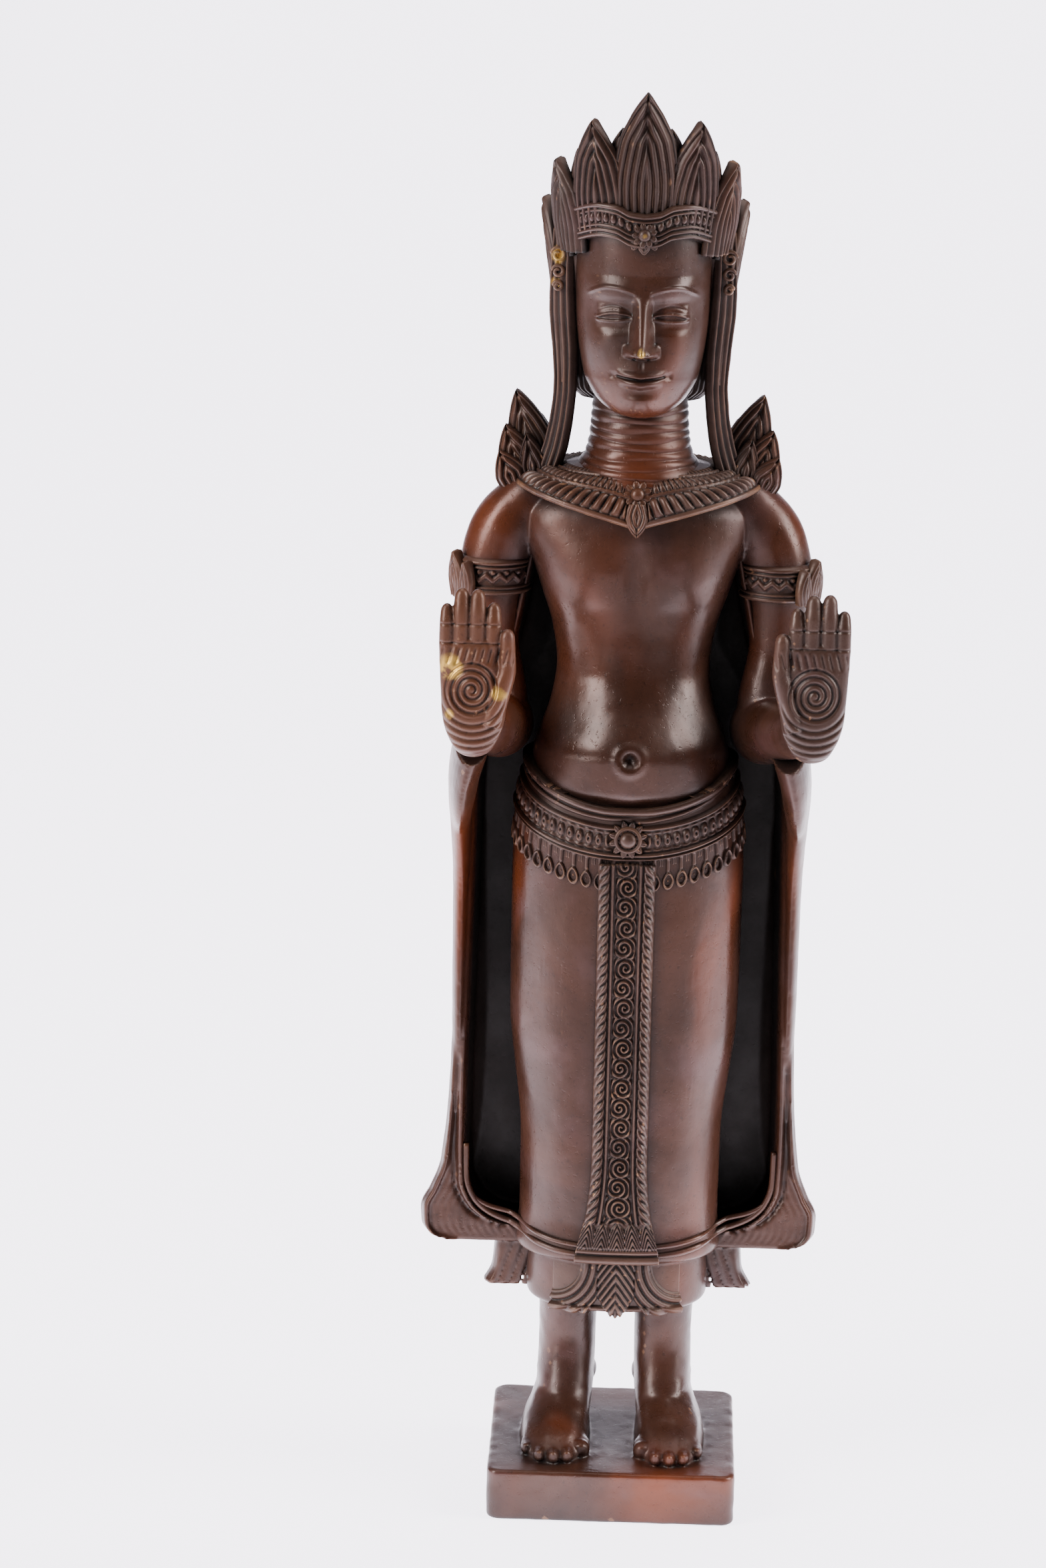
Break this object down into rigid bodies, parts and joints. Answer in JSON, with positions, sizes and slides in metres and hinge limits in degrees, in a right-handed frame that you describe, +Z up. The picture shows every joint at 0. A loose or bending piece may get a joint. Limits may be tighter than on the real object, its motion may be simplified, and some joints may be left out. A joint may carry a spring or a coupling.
{
  "type": "standing buddha statue",
  "caption": "Small bronze statue of a standing crowned figure, both palms raised, in court robe with jewelled collar, belt and apron, on a square plinth; rests on its underside.",
  "frame": {"origin": "middle of the plinth's underside, on the surface the statue stands on", "axes": "+Z up through the crown, -Y the way the figure faces, +X to the right as seen by someone facing it"},
  "size_m": [0.0909, 0.0712, 0.3199],
  "materials": {
    "bronze": "glossy dark brown patina on cast bronze, worn to bright metal on the highest points"
  },
  "bodies": {
    "root": {"statue": "bronze"}
  },
  "joints": []
}
